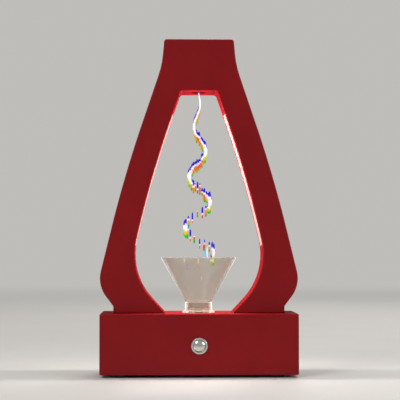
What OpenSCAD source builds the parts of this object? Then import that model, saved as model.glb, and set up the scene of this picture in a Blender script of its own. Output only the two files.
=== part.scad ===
// Anti-gravity fountain lamp.
// A red arch-shaped frame stands on a box base. A nozzle in the head swings from side to
// side, so the water falls as a wave through the opening into a clear funnel. Two light
// strips in the opening's sides flash and seem to hold the wave still.
// Millimetres. +Z is up, the front faces -Y, and the origin is the middle of the
// footprint, on the surface that the lamp stands on.

/* [Base] */
// Width of the base housing
base_w = 210; // [198:1:230]
// Depth of the base housing
base_d = 76; // [72:1:90]
// Height of the base housing
base_h = 64; // [62:1:76]
// Wall of the base housing
base_wall = 3; // [2.4:0.1:4]
// Radius of the upright edges of the base housing
base_edge_r = 3; // [1:0.5:6]
// Thickness of the base plate
plate_t = 3; // [2.6:0.1:4]
// Height of the rubber feet below the base
foot_h = 3; // [2:0.5:6]
// Diameter of the rubber feet
foot_dia = 14; // [10:1:18]

/* [Frame] */
// Depth of the frame from front to back
frame_d = 46; // [44:1:56]
// Wall of the frame shells
frame_wall = 2.6; // [2:0.1:3.2]
// Height of the opening above the base
opening_h = 238; // [214:1:266]
// Height of the head above the opening
head_h = 55; // [53:1:65]
// Width across the top of the head
top_w = 74.5; // [70:0.5:84]
// Width at the bend below the head, corner to corner before rounding
neck_w = 79.5; // [76:0.5:88]
// Drop of that bend below the top
neck_drop = 28; // [24:1:34]
// Reach of the belly's corner past each end of the base, before rounding
belly_over = 3; // [1:0.5:6]
// Height of the belly's corner above the base
belly_rise = 30; // [26:1:36]
// Radius of the belly
belly_r = 32; // [20:1:40]
// Inset of each leg from the end of the base
stance_in = 14; // [9:0.5:17]
// Height of the upright part of each leg
stance_rise = 7.5; // [5:0.5:12]
// Outward bow of the long sides at mid height
side_bow = 5.6; // [2:0.2:8]
// Width of the opening at its top, before rounding
opening_top_w = 39; // [36:1:46]
// Width of each side of the frame from the hip's corner to the belly's corner
side_w = 33; // [29:0.5:37]
// Height of the hips' corner above the base
hip_rise = 42; // [38:1:48]
// Radius of the hips
hip_r = 70; // [55:1:80]
// Width of the opening at the base
sill_w = 72; // [66:1:80]

/* [Lights] */
// Height of each light strip
led_run = 142; // [120:1:150]
// Drop from the top of the opening to the strips
led_drop = 24; // [20:1:30]
// Width of each light strip from front to back
led_w = 30; // [20:1:32]
// Number of LEDs on each strip
led_count = 12; // [8:1:16]
// Side of each LED
led_size = 5; // [3:0.5:6]
// Thickness of the LED boards
led_board_t = 1.2; // [0.8:0.2:2]
// Depth of the LED boards behind the opening's face
led_setback = 9; // [8:0.5:10]

/* [Funnel] */
// Diameter of the funnel's rim
rim_dia = 82; // [70:1:92]
// Height of the funnel's cone
cone_h = 48; // [40:1:54]
// Wall of the funnel
funnel_wall = 1.8; // [1.4:0.1:2.4]
// Outer diameter of the collar that holds the funnel
collar_dia = 29; // [27:0.5:33]
// Height of the collar above the base
collar_h = 11; // [10:0.5:18]
// Wall of the collar
collar_wall = 2; // [1.6:0.1:2.6]
// Diameter of the collar's flange
flange_dia = 34.6; // [34:0.2:40]
// Thickness of the collar's flange
flange_t = 1.6; // [1.2:0.1:2.4]
// Outer diameter of the funnel's drain spigot
drain_dia = 10; // [8:0.5:11]
// Bore of the drain spigot
drain_bore = 7; // [5:0.5:7.5]

/* [Nozzle] */
// Diameter of the hole in the opening's ceiling
mouth_dia = 17; // [15:0.5:22]
// Outer diameter of the nozzle
nozzle_dia = 5; // [4.4:0.1:5.6]
// Bore of the nozzle
nozzle_bore = 2.2; // [1.6:0.1:2.8]
// Drop from the top of the head to the swing pivot
pivot_drop = 17; // [15:0.5:18]
// Diameter of the pivot pin
pivot_dia = 4; // [3:0.1:4.4]
// Swing of the nozzle to each side, in degrees
swing = 5; // [3:0.5:6]
// Thickness of the falling stream
jet_dia = 3; // [2:0.2:4]
// Length of one wave of the stream
jet_wave = 55.5; // [45:0.5:65]
// Sideways speed of the drops against what the nozzle's angle alone would give them
jet_spread = 1.83; // [1:0.01:2]
// Dip of the stream's end below the funnel's rim
jet_dip = 8.3; // [4:0.1:16]

/* [Switch] */
// Diameter of the push button's bezel
bezel_dia = 18; // [17.6:0.2:21]
// Height of the bezel in front of the base
bezel_h = 2.2; // [1.6:0.1:3]
// Diameter of the push button's barrel
barrel_dia = 16; // [15.4:0.1:16.6]
// Diameter of the domed cap
cap_dia = 12.4; // [11:0.2:13]
// Travel of the cap
cap_travel = 2.5; // [1.5:0.1:2.8]

/* [Water] */
// Height of the tank
tank_h = 49; // [46:1:50]
// Wall of the tank
tank_wall = 2; // [1.6:0.1:2.4]
// Reach of the tank to the left of the middle
tank_left = 44; // [40:1:48]
// Reach of the tank in front of the middle
tank_front = 12; // [11:0.5:13]
// Outer diameter of the riser hose
hose_dia = 6; // [5.6:0.1:6.4]
// Bore of the riser hose
hose_bore = 4.6; // [4.5:0.1:4.8]
// Distance of the pump's outlet inside the outer face of the leg
outlet_in = 25; // [22:0.5:28]
// Diameter of the impeller
impeller_dia = 19; // [15:0.5:20]
// Number of impeller blades
impeller_blades = 6; // [4:1:8]

/* [Fasteners] */
// Diameter of the screws
screw_dia = 3; // [2.5:0.1:3.2]
// Diameter of the screw heads
head_dia = 5.6; // [5:0.1:6]
// Height of the screw heads
screw_seat = 1.5; // [1.2:0.1:1.8]
// Gap between pieces that slide together
fit = 0.2; // [0.1:0.05:0.3]

/* [Hidden] */
$fn = 48;

RED = "#8a0f16";
CLEAR = [0.85, 0.9, 0.92, 0.4];

// Overshoot of a cutting solid past the face that it cuts
over = 1;
// Gap between a turning piece and its shaft
run_gap = 0.04;
// Gap round a piece that lifts out or slides by hand
lift_gap = 0.3;

// Heights
base_top = foot_h + base_h;
base_ceiling = base_top - base_wall;
plate_top = foot_h + plate_t;
opening_top = base_top + opening_h;
frame_top = opening_top + head_h;
pivot_z = frame_top - pivot_drop;

// Widths that follow the base
belly_w = base_w + 2 * belly_over;
stance_w = base_w - 2 * stance_in;
hip_w = belly_w - 2 * side_w;
outlet_x = stance_w / 2 - outlet_in;

// Rounding of the frame's outline
leg_r = 3;
neck_r = 100;
top_r = 3;
ceiling_r = 4;
bow_r = 1350;
bow_share = 0.98;
arc_deg = 6;
arc_mm = 12;

// Screw bosses
boss_dia = 8;
pilot_dia = screw_dia + 0.1;
clear_dia = screw_dia + 0.4;
sink_dia = head_dia + 0.8;

// Corner posts of the base
post_x = base_w / 2 - base_wall - 5.5;
post_y = base_d / 2 - base_wall - 5.5;

// Feet, inwards from the corner posts, each with a peg in the base plate
foot_in_x = 14;
foot_in_y = 3;
peg_dia = 6;
peg_h = 1.8;

// Frame screws as distances from the outline: top pair, shoulder pair, belly pair
top_boss = [top_w / 2 - 8, frame_top - 13];
shoulder_boss = [opening_top_w / 2 + 28.3, opening_top - 14];
belly_boss = [belly_w / 2 - 15, base_top + belly_rise + 25];
frame_bosses = [top_boss, shoulder_boss, belly_boss];
frame_screw_l = 24;
frame_sink = 11;

// Screws that hold the legs down
leg_boss_x = stance_w / 2 - 13;
leg_boss_y = frame_d / 4;
leg_boss_h = 12;
leg_screw_l = 10;

// Passages through the base's top into the legs
hose_hole = hose_dia + 3;
lead_hole = 5;
hose_y = 8;
lead_x = outlet_x - 4;
lead_y = -8;

// Turns a list of [x, z, radius] corners into an outline with round corners
function unit(v) = v / norm(v);
function turned(v, a) = [v[0] * cos(a) - v[1] * sin(a), v[0] * sin(a) + v[1] * cos(a)];
function flat(p) = [p[0], p[1]];
function arc_steps(r, a) = max(3, ceil(abs(a) / arc_deg), ceil(r * abs(a) * PI / 180 / arc_mm));
function corner(before, c, after, r) = r == 0 ? [c] :
    let (u = unit(before - c), v = unit(after - c), half = acos(u * v) / 2,
        middle = c + unit(u + v) * r / sin(half), start = c + u * r / tan(half) - middle,
        turn = (cross(u, v) < 0 ? 1 : -1) * (180 - 2 * half), steps = arc_steps(r, turn))
    [for (i = [0:steps]) middle + turned(start, turn * i / steps)];
function rounded(path) = [for (i = [0:len(path) - 1])
    each corner(flat(path[max(i - 1, 0)]), flat(path[i]), flat(path[min(i + 1, len(path) - 1)]),
        path[i][2])];
function bowed(a, b, r) = [(a[0] + b[0]) / 2 + side_bow, (a[1] + b[1]) / 2, r];

// Half the angle of a corner, and how far its rounding runs along each side
function half_corner(before, c, after) = acos(unit(before - c) * unit(after - c)) / 2;
function corner_run(before, c, after, r) = r / tan(half_corner(before, c, after));

// Moves each side of a closed outline inwards by d
function left_of(a, b) = let (e = unit(b - a)) [-e[1], e[0]];
function inset(points, d) = let (n = len(points)) [for (i = [0:n - 1])
    let (p = points[i], m1 = left_of(points[(i + n - 1) % n], p), m2 = left_of(p, points[(i + 1) % n]))
    p + d * (m1 + m2) / (1 + m1 * m2)];
function mirrored(points) = [for (p = points) [-p[0], p[1]]];
function backwards(points) = [for (i = [len(points) - 1:-1:0]) points[i]];
function without_last(points) = [for (i = [0:len(points) - 2]) points[i]];

// The frame's right half: outer side and opening, from the base to the middle of the top
belly = [belly_w / 2, base_top + belly_rise, belly_r];
neck = [neck_w / 2, frame_top - neck_drop, neck_r];
outer_half = rounded([[stance_w / 2, base_top, 0], [stance_w / 2, base_top + stance_rise, leg_r],
    belly, bowed(belly, neck, bow_r), neck, [top_w / 2, frame_top, top_r], [0, frame_top, 0]]);
hip = [hip_w / 2, base_top + hip_rise, hip_r];
eave = [opening_top_w / 2, opening_top, ceiling_r];
sill_end = [sill_w / 2, base_top, 0];
side_middle = flat(bowed(hip, eave, 0));
hip_run = corner_run(flat(sill_end), flat(hip), side_middle, hip_r);
bow_run = bow_share * (norm(side_middle - flat(hip)) - hip_run);
opening_bow_r = bow_run * tan(half_corner(flat(hip), side_middle, flat(eave)));
inner_half = rounded([sill_end, hip, bowed(hip, eave, opening_bow_r), eave, [0, opening_top, 0]]);
arch = concat(without_last(outer_half), backwards(mirrored(outer_half)),
    without_last(mirrored(inner_half)), backwards(inner_half));
cavity = inset(arch, frame_wall);

// The opening's side as a rail that the light strips follow: d is the depth into the frame
led_top = opening_top - led_drop;
led_bottom = led_top - led_run;
side_table = [for (p = inner_half) [p[1], p[0]]];
function rail_point(z) = [lookup(z, side_table), z];
function rail_normal(z) = let (t = unit(rail_point(z + 1) - rail_point(z - 1))) [t[1], -t[0]];
function rail(z, d) = rail_point(z) + d * rail_normal(z);
rail_steps = 28;
function band(z1, z2, d1, d2) = concat(
    [for (i = [0:rail_steps]) rail(z1 + (z2 - z1) * i / rail_steps, d1)],
    [for (i = [rail_steps:-1:0]) rail(z1 + (z2 - z1) * i / rail_steps, d2)]);

// Light strip sizes
diffuser_lip = 2.5;
diffuser_back = frame_wall + fit + 1.4;
rail_t = 1.8;
rail_d = 3.4;
led_h = 1.6;
board_half = frame_d / 2 - frame_wall - 1.2;
board_over = 3;

// Head mechanism
bush_dia = pivot_dia + 4;
eye_dia = bush_dia + 6;
arm_w = 10;
arm_y = 5.5;
eye_y = 7;
inlet_z = pivot_z - 16;
nozzle_top = inlet_z + 4;
tip_z = opening_top + 1;
tip_h = 6;
arm_bottom = pivot_z - 26;
magnet_dia = 8;
magnet_t = 4;
coil_z = pivot_z - 21;
coil_gap = 3.5;
coil_dia = 16;
core_dia = 6;
coil_right = -arm_w / 2 - magnet_t - coil_gap;
coil_l = 21;
tab_left = coil_right - coil_l;
bracket_y = 13;
bracket_t = 2;
bracket_back = bracket_y + bracket_t;
bracket_top = pivot_z + 8;
bracket_bottom = pivot_z - 30;
shoulder_dia = pivot_dia + 3;
clip_dia = pivot_dia + 5;
clip_t = 1;
bracket_screw_l = screw_seat + bracket_t + 4;
bracket_half = top_boss[0] - boss_dia / 2 - 1;
bracket_screw_at = [[-16, pivot_z + 1], [12, pivot_z + 1]];
barb_dia = 4.2;
barb_bore = 2.6;
tab_right = 17;
coil_tab = coil_dia / 2 + 1;
coupler_tab = 7;
coupler_flange_dia = 9;
spigot_dia = barb_dia + 1.8;
coupler_left = 11.8;
coupler_right = 24;
link_left = arm_w / 2 + 0.4;
link_right = tab_right - 2.3;

// Funnel heights and widths
seat_z = base_top + collar_h;
rim_z = seat_z + cone_h;
collar_bore = collar_dia - 2 * collar_wall;
neck_plug_dia = collar_bore - 2 * lift_gap;
cone_slope = (rim_dia - collar_dia) / 2 / cone_h;
funnel_wall_x = funnel_wall * sqrt(1 + cone_slope * cone_slope);
stem_dia = 22;
drain_bottom = base_ceiling - 12;
nut_t = 3;
nut_over = 12;
gasket_t = 1;
stem_bottom = base_ceiling - nut_t - gasket_t;

// Tank, lid and pump
tank_right = post_x - 7.5;
tank_back = base_d / 2 - base_wall - 1;
tank_top = plate_top + tank_h;
lid_t = 2;
rib_h = 2;
rib_t = 2;
rib_in = 4;
rib_top = plate_top + rib_h;
lid_z = tank_top + gasket_t;
hold_down_x = [-tank_left / 2, outlet_x - 30];
pump_w = 26;
cup_h = 4;
pump_z = plate_top + tank_wall + cup_h;
pump_axis = [hose_y + 4, pump_z + pump_w / 2];
pump_seam = outlet_x - 8;
pump_l = 28;
pump_left = pump_seam - pump_l;
cover_l = 18;
chamber_dia = 22;
chamber_l = 14;
rotor_dia = 10;
rotor_l = 18.5;
outlet_h = 10;
shaft_dia = 2;
shaft_in = 8;
intake_dia = 8;
hub_dia = 5;
blade_l = 8;
blade_t = 1.4;
disc_t = 2;
cup_dia = 10;
cup_in = 6;

// Control board
board_x0 = -base_w / 2 + base_wall + 12;
board_x1 = -tank_left - 8;
board_y = 30;
board_z = plate_top + 8;
board_t = 1.6;
board_hole_in = 4;
standoff_dia = 6;
plug_x = board_x1 - 6;
plug_y = [-22, -12, -2, 8, 18];
plug_h = 6;
plug_w = 8;
plug_d = 6;
plug_top = board_z + board_t + plug_h;
chip_w = 10;
switch_w = 6;
switch_gap = 7;
can_dia = 8;
can_h = 12;
can_at = [board_x0 + 20, 12];
chip_at = [board_x0 + 6, -6];
jack_plug = [board_x0 + 10, 20];

// Button and power inlet
button_z = base_top / 2;
button_l = 20;
cap_gap = 0.3;
cap_edge = 1.6;
cap_rise = 2;
plunger_dia = 5;
plunger_l = 17;
cap_l = 4;
shelf_in = 14;
shelf_t = 2;
spring_dia = 9;
spring_bore = 7;
button_nut_t = 3;
button_nut_over = 8;
jack_x = -base_w / 2 + 35;
jack_z = foot_h + 31;
jack_dia = 11;
jack_thread_l = 8;
jack_l = 16;
jack_back_dia = 9.6;
jack_flange_dia = 14;
jack_flange_t = 2;
jack_nut_t = 2.5;
jack_nut_dia = 16.2;
pin_hole_dia = 6.4;
pin_hole_l = 10;
pin_dia = 2;

// The way up the right side of the frame, from the leg to the head, and its mirror image
function in_frame(z, d, y) = let (p = rail(z, d)) [p[0], y, p[1]];
function flip(route) = [for (p = route) [-p[0], p[1], p[2]]];
hose_depth = led_setback + led_board_t + rail_t + 5.5;
side_run = concat([for (z = [-16, 0, 16]) in_frame(base_top + hip_rise + z, hose_depth - 2, hose_y)],
    [for (i = [0:6]) in_frame(led_bottom + (led_run - 5) * i / 6, hose_depth - 0.5, hose_y)],
    [in_frame(led_top + 4, hose_depth - 3.8, hose_y)]);

// Route of the riser hose, from the pump to the coupler in the head
riser_route = concat(
    [for (z = [pump_z + pump_w + 0.5, lid_z, base_ceiling, base_top + 6]) [outlet_x, hose_y, z]], side_run,
    [[opening_top_w / 2 + 16.5, hose_y - 2, opening_top - 6], [coupler_right + 10, 2, inlet_z - 14],
        [coupler_right + 8, 0.5, inlet_z - 5], [coupler_right + 4, 0, inlet_z - 0.8],
        [coupler_right, 0, inlet_z], [tab_right + bracket_t + 2.3, 0, inlet_z]]);

// Routes of the inner leads, each to its plug on the control board
function to_plug(x, y, h) = [[x, y, plug_top + h], [x, y, plug_top + 0.2]];
led_lead_run = [in_frame(led_bottom - board_over - 0.7, led_setback + led_board_t / 2, -6),
    in_frame(led_bottom - 14, led_setback + 1, -7), in_frame(base_top + hip_rise - 4, led_setback, lead_y),
    in_frame(base_top + hip_rise - 20, led_setback, lead_y), [lead_x, lead_y, base_top + 5],
    [lead_x, lead_y, base_ceiling + 1]];
left_led_route = concat(flip(led_lead_run), [[-lead_x, lead_y - 2, base_ceiling - 14],
    [plug_x - 2, plug_y[0] + 6, plug_top + 18]], to_plug(plug_x, plug_y[0], 7));
right_led_route = concat(led_lead_run, [[lead_x - 4, -tank_front - 4, base_ceiling - 4],
    [30, -tank_front - 10, base_ceiling - 7], [0, -tank_front - 12, base_ceiling - 7],
    [-30, -tank_front - 12, base_ceiling - 10], [-tank_left - 4, -tank_front - 7, plug_top + 22],
    [plug_x + 2, plug_y[1] - 2, plug_top + 8.4]], to_plug(plug_x, plug_y[1], 3.4));
coil_route = concat([[tab_left + 0.5, 0, coil_z - coil_tab - 0.4], [tab_left - 0.5, 2, opening_top + 2],
    [-opening_top_w / 2 - 16.5, hose_y - 2, opening_top - 7]], flip(backwards(side_run)),
    [[-outlet_x, hose_y, base_top + 6], [-outlet_x, hose_y, base_ceiling],
        [1 - outlet_x, hose_y + 2, base_ceiling - 12], [plug_x - 3, plug_y[4] - 3, plug_top + 16.4]],
    to_plug(plug_x, plug_y[4], 6.4));
lid_leads = [10, 22];
pump_route = concat([[pump_left - 0.2, pump_axis[0], pump_axis[1] + 5],
    [pump_left - 8, pump_axis[0], pump_axis[1] + 7], [lid_leads[0] + 3, lid_leads[1] - 4, pump_axis[1] + 17],
    [lid_leads[0], lid_leads[1], lid_z - 5], [lid_leads[0], lid_leads[1], lid_z + 2.6],
    [lid_leads[0] - 4, lid_leads[1] - 0.6, lid_z + 5.8], [-10, 18.5, lid_z + 5.6], [-24, 16, lid_z + 5.4],
    [5 - tank_left, 16, lid_z + 5.4], [-tank_left - 3.5, 15.5, lid_z + 2], [-tank_left - 8, 14, lid_z - 11],
    [plug_x + 1, plug_y[3] + 1, plug_top + 8.4]], to_plug(plug_x, plug_y[3], 3.4));
button_lead_y = -base_d / 2 + button_l + 3;
button_route = concat([[-5.2, button_lead_y, button_z], [-12, button_lead_y, button_z],
    [-22, button_lead_y - 3, button_z - 1], [2 - tank_left, -tank_front - 7, button_z - 4],
    [-tank_left - 8, -tank_front, plug_top + 10.4], [plug_x + 1.2, plug_y[2] - 2.5, plug_top + 8]],
    to_plug(plug_x, plug_y[2], 4.5));
jack_back = base_d / 2 - jack_l;
jack_route = concat([[jack_x, jack_back - 0.4, jack_z], [jack_x, jack_back - 5, jack_z],
    [jack_x - 5, jack_back - 8, jack_z - 4], [jack_plug[0] - 2, jack_plug[1] - 3, plug_top + 5.4]],
    to_plug(jack_plug[0] - 3, jack_plug[1], 2.4));
lead_dia = 2.4;
lead_sides = 6;
hose_sides = 10;
route_steps = 2;

// A smooth curve through a route's points
function spline(a, b, c, d, t) = 0.5 * (2 * b + (c - a) * t + (2 * a - 5 * b + 4 * c - d) * t * t
    + (3 * b - a - 3 * c + d) * t * t * t);
function smooth(route) = let (n = len(route)) concat([for (i = [0:n - 2], k = [0:route_steps - 1])
    spline(route[max(i - 1, 0)], route[i], route[i + 1], route[min(i + 2, n - 1)], k / route_steps)],
    [route[n - 1]]);
function heading(path, i) = unit(path[min(i + 1, len(path) - 1)] - path[max(i - 1, 0)]);
function ring(path, i, r, sides) = let (t = heading(path, i), u = unit(cross(t, [1, 2, 3])), v = cross(t, u))
    [for (k = [0:sides - 1]) path[i] + r * (cos(360 * k / sides) * u + sin(360 * k / sides) * v)];

// Sweeps a round section along a path, solid or with a bore
function side_faces(first, rows, sides, out) = [for (i = [0:rows - 2], k = [0:sides - 1])
    let (a = first + i * sides + k, b = first + i * sides + (k + 1) % sides, c = b + sides, d = a + sides)
    each out ? [[a, d, c], [a, c, b]] : [[a, c, d], [a, b, c]]];
function fan(first, sides, out) = [for (k = [1:sides - 2])
    out ? [first, first + k, first + k + 1] : [first, first + k + 1, first + k]];
function rim(a, b, sides, out) = [for (k = [0:sides - 1])
    let (m = (k + 1) % sides) each out ? [[a + k, a + m, b + m], [a + k, b + m, b + k]]
        : [[a + k, b + m, a + m], [a + k, b + k, b + m]]];
module rod(path, radii, sides) {
    n = len(path);
    points = [for (i = [0:n - 1]) each ring(path, i, radii[i], sides)];
    faces = concat(side_faces(0, n, sides, true), fan(0, sides, true), fan((n - 1) * sides, sides, false));
    polyhedron(points, faces);
}
module tube(path, r, bore, sides) {
    n = len(path);
    points = concat([for (i = [0:n - 1]) each ring(path, i, r, sides)],
        [for (i = [0:n - 1]) each ring(path, i, bore, sides)]);
    faces = concat(side_faces(0, n, sides, true), side_faces(n * sides, n, sides, false),
        rim(0, n * sides, sides, true), rim((n - 1) * sides, (2 * n - 1) * sides, sides, false));
    polyhedron(points, faces);
}
module lead(route) color("#202020") {
    path = smooth(route);
    rod(path, [for (p = path) lead_dia / 2], lead_sides);
}

// Basic shapes
module slab(points, y0, y1) translate([0, y1, 0]) rotate([90, 0, 0])
    linear_extrude(y1 - y0) polygon(points);
module along_x(x0, x1, y, z, d) translate([x0, y, z]) rotate([0, 90, 0]) cylinder(h = x1 - x0, d = d);
module along_y(x, y0, y1, z, d) translate([x, y1, z]) rotate([90, 0, 0]) cylinder(h = y1 - y0, d = d);
module along_z(x, y, z0, z1, d) translate([x, y, z0]) cylinder(h = z1 - z0, d = d);
module block(x0, x1, y0, y1, z0, z1) translate([x0, y0, z0]) cube([x1 - x0, y1 - y0, z1 - z0]);
module tile(w, d, r, z0, z1) translate([0, 0, z0]) linear_extrude(z1 - z0) {
    square([w - 2 * r, d], center = true);
    square([w, d - 2 * r], center = true);
    for (x = [-1, 1], y = [-1, 1]) translate([x * (w / 2 - r), y * (d / 2 - r)]) circle(r);
}
module both_sides() {
    children();
    mirror([1, 0, 0]) children();
}
module at_posts() for (x = [-1, 1], y = [-1, 1]) translate([x * post_x, y * post_y, 0]) children();
module at_frame_bosses() both_sides() for (p = frame_bosses) translate([p[0], 0, p[1]]) children();
module at_leg_screws(y_sides = [-1, 1]) for (x = [-1, 1], y = y_sides)
    translate([x * leg_boss_x, y * leg_boss_y, 0]) children();
module passages() {
    for (x = [-1, 1]) {
        along_z(x * outlet_x, hose_y, base_ceiling - over, base_top + frame_wall + over, hose_hole);
        along_z(x * lead_x, lead_y, base_ceiling - over, base_top + frame_wall + over, lead_hole);
    }
}

// Base
module base_housing() color(RED) difference() {
    union() {
        difference() {
            tile(base_w, base_d, base_edge_r, foot_h, base_top);
            tile(base_w - 2 * base_wall, base_d - 2 * base_wall, 0.5, foot_h - over, base_ceiling);
        }
        at_posts() along_z(0, 0, plate_top + fit, base_ceiling + over, boss_dia + 1);
        for (x = hold_down_x) along_z(x, tank_back - 8, lid_z + lid_t, base_ceiling + over, boss_dia);
    }
    at_posts() along_z(0, 0, plate_top, plate_top + 14, pilot_dia);
    at_leg_screws() along_z(0, 0, base_ceiling - over, base_top + over, clear_dia);
    along_z(0, 0, base_ceiling - over, base_top + over, stem_dia + 2 * fit);
    along_y(0, -base_d / 2 - over, -base_d / 2 + base_wall + over, button_z, barrel_dia + 2 * fit);
    along_y(jack_x, base_d / 2 - base_wall - over, base_d / 2 + over, jack_z, jack_dia + 2 * fit);
    passages();
}

module at_feet() for (x = [-1, 1], y = [-1, 1])
    translate([x * (post_x - foot_in_x), y * (post_y - foot_in_y), 0]) children();
module base_plate() color("#2a2a2c") difference() {
    union() {
        tile(base_w - 2 * base_wall - 2 * fit, base_d - 2 * base_wall - 2 * fit, 0.5, foot_h, plate_top);
        at_board_screws() along_z(0, 0, plate_top - 0.5, board_z, standoff_dia);
        block(-tank_left - fit - rib_t, -tank_left - fit, -tank_front + rib_in, tank_back - rib_in,
            foot_h + over, rib_top);
        block(-tank_left + rib_in, tank_right - rib_in, -tank_front - fit - rib_t, -tank_front - fit,
            foot_h + over, rib_top);
    }
    at_posts() {
        along_z(0, 0, foot_h - over, plate_top + over, clear_dia);
        along_z(0, 0, foot_h - over, foot_h + screw_seat, sink_dia);
    }
    at_feet() along_z(0, 0, foot_h - over, foot_h + peg_h + fit, peg_dia + 2 * fit);
    at_board_screws() along_z(0, 0, plate_top + 1, board_z + over, pilot_dia - 0.5);
}
module feet() color("#151515") at_feet() {
    along_z(0, 0, 0, foot_h, foot_dia);
    along_z(0, 0, foot_h - 0.5, foot_h + peg_h, peg_dia);
}
module base_screws() color("silver") at_posts() translate([0, 0, foot_h]) screw_solid(12);

// A cap screw that points up +Z from its head, with a hexagon socket
module screw_solid(l) difference() {
    union() {
        cylinder(h = screw_seat, d = head_dia);
        cylinder(h = l, d = screw_dia);
    }
    translate([0, 0, -over]) cylinder(h = over + 0.9, d = head_dia * 0.5, $fn = 6);
}

// Frame
module shell(y0, y1, floor_y) {
    difference() {
        slab(arch, y0, y1);
        slab(cavity, min(floor_y, 0) - (floor_y > 0 ? over : 0), max(floor_y, 0) + (floor_y < 0 ? over : 0));
    }
}
module led_rails(y0, y1) both_sides() slab(band(led_bottom - 2, led_top + 2, led_setback - rail_t,
    led_setback + led_board_t + rail_t), y0, y1);
module led_cuts() both_sides() {
    slab(band(led_bottom, led_top, -over, frame_wall + over), -led_w / 2, led_w / 2);
    slab(band(led_bottom - board_over - over, led_top + board_over + over, led_setback - fit / 2,
        led_setback + led_board_t + fit / 2), -board_half - fit, board_half + fit);
}
module frame_cuts() {
    led_cuts();
    along_z(0, 0, opening_top - over, opening_top + frame_wall + over, mouth_dia);
    passages();
    at_leg_screws() along_z(0, 0, base_top - over, base_top + leg_boss_h - 1, pilot_dia);
}
shell_floor = frame_d / 2 - frame_wall;
module frame_front() color(RED) difference() {
    union() {
        shell(-frame_d / 2, 0, -shell_floor);
        at_frame_bosses() along_y(0, -shell_floor - over, 0, 0, boss_dia);
        at_leg_screws([-1]) along_z(0, 0, base_top + over, base_top + leg_boss_h, boss_dia);
        led_rails(-shell_floor - 0.5, -shell_floor + rail_d);
    }
    at_frame_bosses() along_y(0, -shell_floor + 2, over, 0, pilot_dia);
    frame_cuts();
}
module frame_rear() color(RED) difference() {
    union() {
        shell(0, frame_d / 2, shell_floor);
        at_frame_bosses() along_y(0, 0, shell_floor + over, 0, boss_dia);
        at_leg_screws([1]) along_z(0, 0, base_top + over, base_top + leg_boss_h, boss_dia);
        led_rails(shell_floor - rail_d, shell_floor + 0.5);
        for (p = bracket_screw_at) along_y(p[0], bracket_y + bracket_t, shell_floor + 0.5, p[1], boss_dia);
    }
    at_frame_bosses() {
        along_y(0, -over, frame_d / 2, 0, clear_dia);
        along_y(0, frame_d / 2 - frame_sink, frame_d / 2 + over, 0, sink_dia);
    }
    for (p = bracket_screw_at) along_y(p[0], bracket_y, shell_floor, p[1], pilot_dia);
    frame_cuts();
}
module frame_screws() color("silver") at_frame_bosses()
    translate([0, frame_d / 2 - frame_sink + screw_seat, 0]) rotate([90, 0, 0]) screw_solid(frame_screw_l);
module leg_screws() color("silver") at_leg_screws()
    translate([0, 0, base_ceiling - screw_seat]) screw_solid(leg_screw_l);

// Light strips
module diffuser() color("white") {
    slab(band(led_bottom + fit, led_top - fit, 0, frame_wall + fit + 0.5), -led_w / 2 + fit, led_w / 2 - fit);
    slab(band(led_bottom - diffuser_lip, led_top + diffuser_lip, frame_wall + fit, diffuser_back),
        -led_w / 2 - diffuser_lip, led_w / 2 + diffuser_lip);
}
module led_board() color("#e8e8e4") slab(band(led_bottom - board_over, led_top + board_over, led_setback,
    led_setback + led_board_t), -board_half, board_half);
module leds() color("#f4e9c8") for (i = [0:led_count - 1]) {
    z = led_bottom + led_run * (i + 0.5) / led_count;
    p = rail(z, led_setback - led_h - fit / 2);
    n = rail_normal(z);
    translate([p[0], 0, p[1]]) rotate([0, -atan2(n[1], n[0]), 0])
        translate([0, -led_size / 2, -led_size / 2]) cube([led_h, led_size, led_size]);
}
module left_diffuser() mirror([1, 0, 0]) diffuser();
module right_diffuser() diffuser();
module left_led_board() mirror([1, 0, 0]) led_board();
module right_led_board() led_board();
module left_leds() mirror([1, 0, 0]) leds();
module right_leds() leds();

// Funnel
module funnel() color(CLEAR) translate([0, 0, lift_gap]) rotate_extrude() polygon([
    [drain_bore / 2, drain_bottom], [drain_dia / 2, drain_bottom], [drain_dia / 2, base_top + flange_t],
    [neck_plug_dia / 2, base_top + flange_t], [neck_plug_dia / 2, seat_z], [collar_dia / 2, seat_z],
    [rim_dia / 2, rim_z], [rim_dia / 2 - funnel_wall_x, rim_z],
    [collar_dia / 2 + funnel_wall * cone_slope - funnel_wall_x, seat_z + funnel_wall],
    [neck_plug_dia / 2 - funnel_wall, seat_z + funnel_wall],
    [neck_plug_dia / 2 - funnel_wall, base_top + flange_t + funnel_wall],
    [drain_bore / 2, base_top + flange_t + funnel_wall]]);
module funnel_collar() color(CLEAR) rotate_extrude() polygon([
    [drain_dia / 2 + lift_gap, stem_bottom], [stem_dia / 2, stem_bottom],
    [stem_dia / 2, base_top], [flange_dia / 2, base_top], [flange_dia / 2, base_top + flange_t],
    [collar_dia / 2, base_top + flange_t], [collar_dia / 2, seat_z], [collar_bore / 2, seat_z],
    [collar_bore / 2, base_top + flange_t], [drain_dia / 2 + lift_gap, base_top + flange_t]]);
module washer(inner, outer, z0, z1) difference() {
    along_z(0, 0, z0, z1, outer);
    along_z(0, 0, z0 - over, z1 + over, inner);
}
module collar_gasket() color("#222222")
    washer(stem_dia + 2 * fit, stem_dia + 8, base_ceiling - gasket_t, base_ceiling);
module collar_nut() color("#dddddd") difference() {
    translate([0, 0, base_ceiling - gasket_t - nut_t]) cylinder(h = nut_t, d = stem_dia + nut_over, $fn = 8);
    along_z(0, 0, base_ceiling - gasket_t - nut_t - over, base_ceiling, stem_dia + 0.1);
}

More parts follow.
